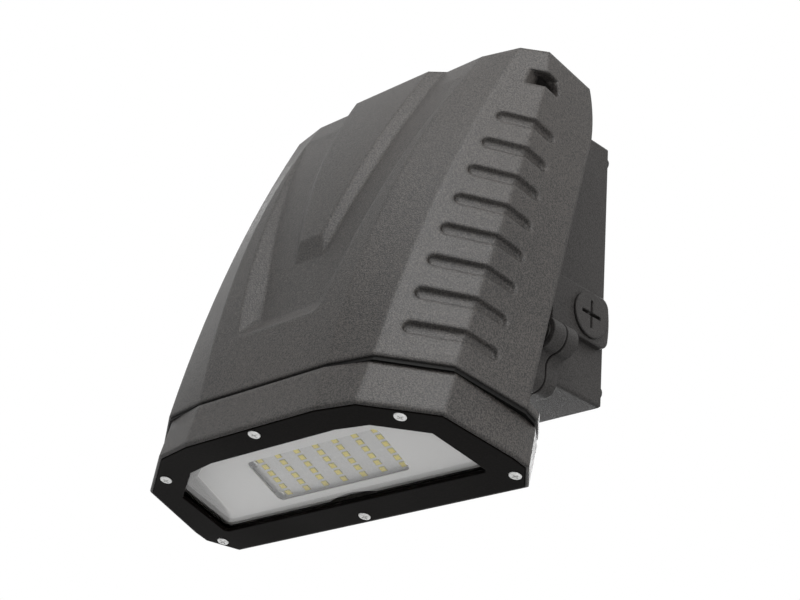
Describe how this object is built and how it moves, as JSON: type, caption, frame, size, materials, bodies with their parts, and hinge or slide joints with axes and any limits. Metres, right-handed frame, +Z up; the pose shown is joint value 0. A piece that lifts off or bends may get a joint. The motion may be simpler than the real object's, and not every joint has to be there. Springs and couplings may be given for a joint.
{
  "type": "wall pack light",
  "caption": "Outdoor wall pack light: a cast lamp head with a downward flat lens and finned light engine, tilting on a bolted wall box with conduit entries.",
  "frame": {"origin": "centre of the wall box's mounting face, on the wall", "axes": "+X to the right seen from the front, +Y into the wall, +Z up"},
  "size_m": [0.2152, 0.1676, 0.2355],
  "materials": {
    "casting": "textured powder coat",
    "lens_frame": "matt black coat",
    "plug": "textured powder coat",
    "stainless": "satin",
    "dark_screw": "matt dark coat",
    "rubber_seal": "matt",
    "friction_disc": "smooth",
    "lens": "clear tempered",
    "reflector": "white coat",
    "board": "white solder mask",
    "led": "phosphor",
    "driver": "satin",
    "sheet_steel": "zinc plated",
    "surge_case": "moulded",
    "terminal": "moulded",
    "brass_screw": "plain",
    "ground_green": "green coat",
    "vent": "moulded"
  },
  "bodies": {
    "wall_side": {"wall_box": "casting", "wall_gasket": "rubber_seal", "conduit_plug_right": "plug", "conduit_plug_left": "plug", "plug_seals": "rubber_seal", "cover_gasket": "rubber_seal", "box_cover": "casting", "cover_bolts": "dark_screw", "cover_washers": "dark_screw", "cover_bushing": "rubber_seal", "terminal_block": "terminal", "terminal_screws": "brass_screw", "ground_screw": "ground_green", "pivot_bolts": "stainless", "pivot_washers": "stainless", "pivot_nuts": "stainless", "friction_washers": "friction_disc"},
    "head": {"upper_housing": "casting", "lower_housing": "casting", "seam_gasket": "rubber_seal", "body_screws": "stainless", "lens_frame": "lens_frame", "lens_screws": "stainless", "lens_glass": "lens", "lens_seal": "rubber_seal", "led_board": "board", "board_screws": "stainless", "led_chips": "led", "reflector_tray": "reflector", "driver_case": "driver", "driver_bracket": "sheet_steel", "driver_screws": "stainless", "surge_protector": "surge_case", "rear_cover": "casting", "rear_gasket": "rubber_seal", "rear_screws": "stainless", "head_bushing": "rubber_seal", "vent_plug": "vent"}
  },
  "joints": [
    {"name": "head_tilt", "type": "hinge", "parent": "wall_side", "child": "head", "pos_m": [0, -0.0711, 0.0504], "axis": [-1, 0, 0], "range_deg": [-13.2, 46.8]}
  ]
}
